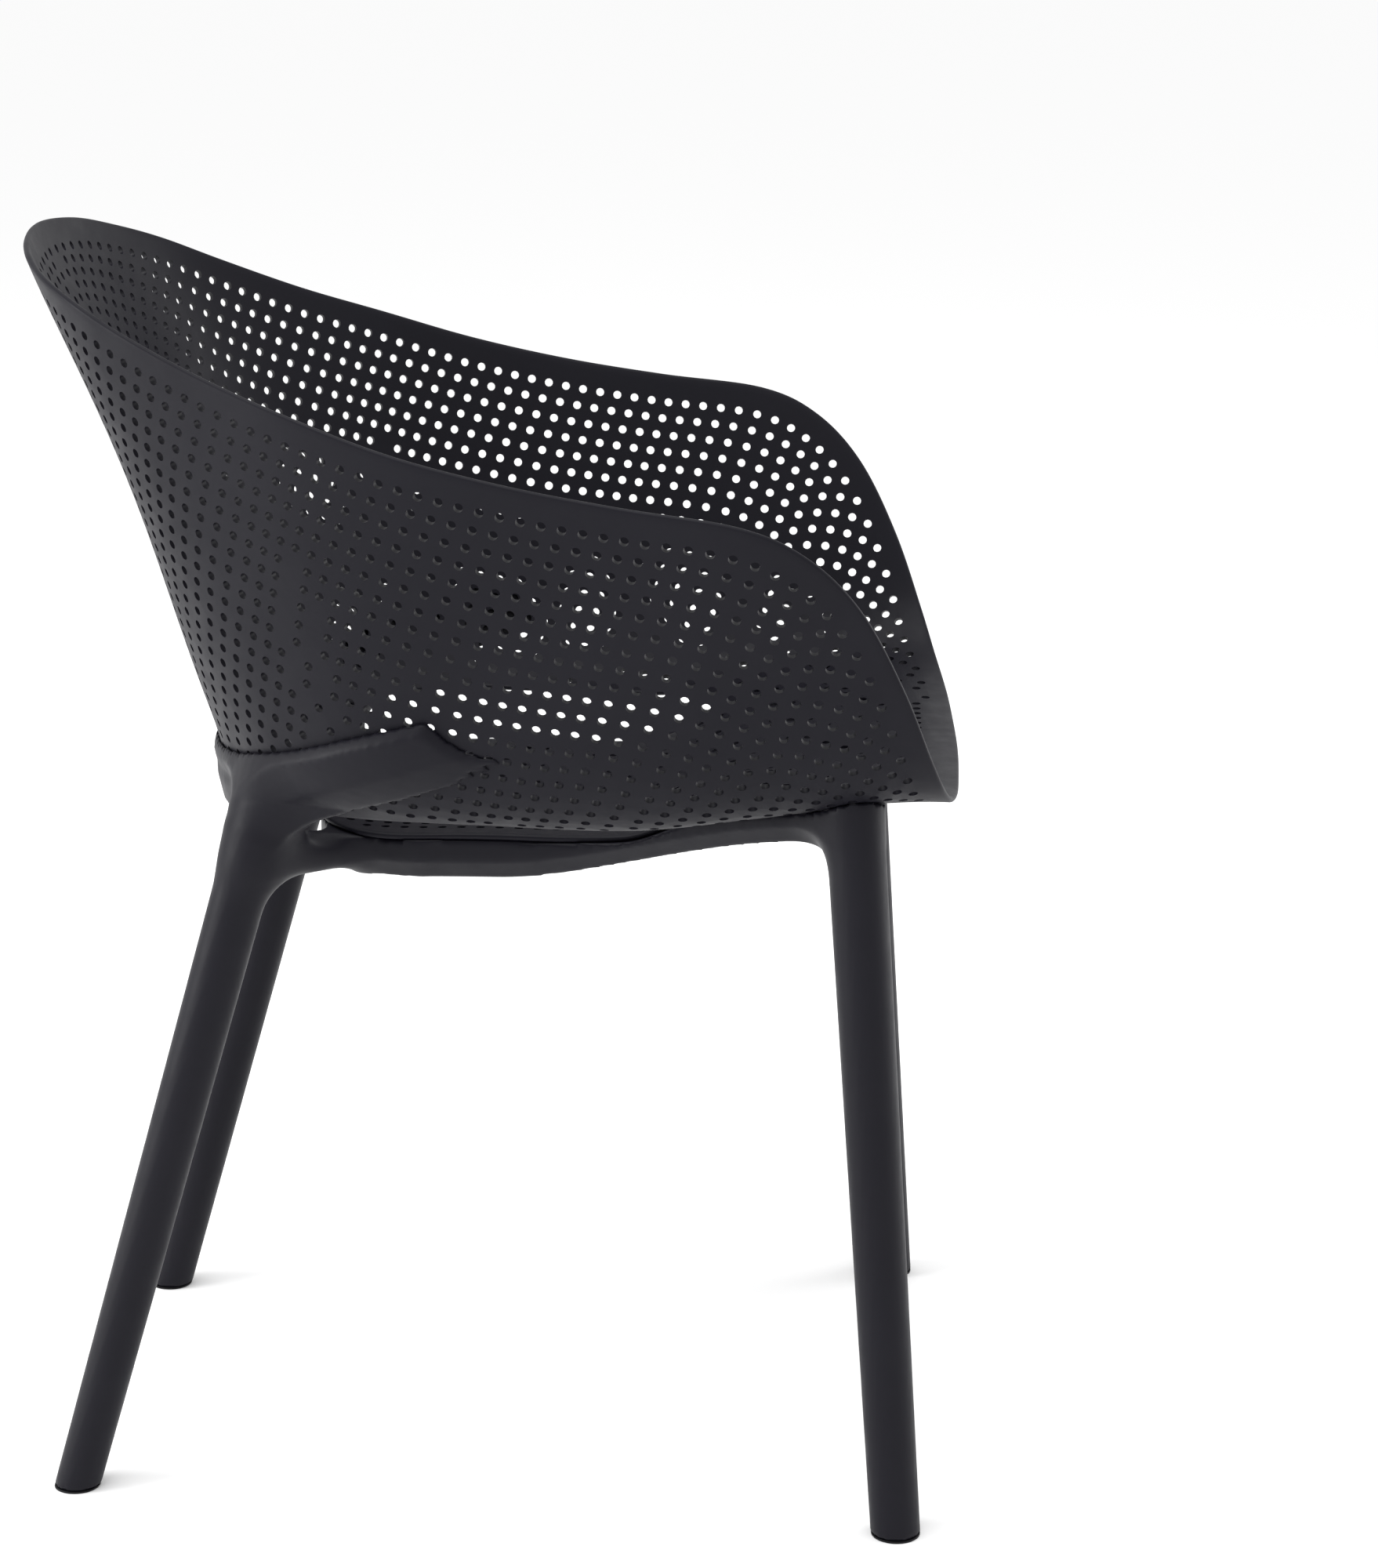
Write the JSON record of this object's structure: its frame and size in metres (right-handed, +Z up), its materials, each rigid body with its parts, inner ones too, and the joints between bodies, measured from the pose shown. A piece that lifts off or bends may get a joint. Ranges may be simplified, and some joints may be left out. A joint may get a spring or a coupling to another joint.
{
  "type": "stacking chair",
  "caption": "Moulded plastic stacking armchair: a one-piece tub seat with back and arms on a tapered four-leg frame",
  "frame": {"origin": "on the floor, under the centre of the chair's width and depth", "axes": "+Z up, -Y towards the front of the seat, +X towards the sitter's left; X = 0 is the plane of symmetry"},
  "size_m": [0.548, 0.6063, 0.8124],
  "materials": {
    "tub_plastic": "matte",
    "frame_plastic": "matte",
    "glide_plastic": "matte",
    "screw_steel": "satin"
  },
  "bodies": {
    "root": {"seat_shell": "tub_plastic", "leg_frame": "frame_plastic", "front_left_glide": "glide_plastic", "front_right_glide": "glide_plastic", "rear_left_glide": "glide_plastic", "rear_right_glide": "glide_plastic", "seat_screws": "screw_steel"}
  },
  "joints": []
}
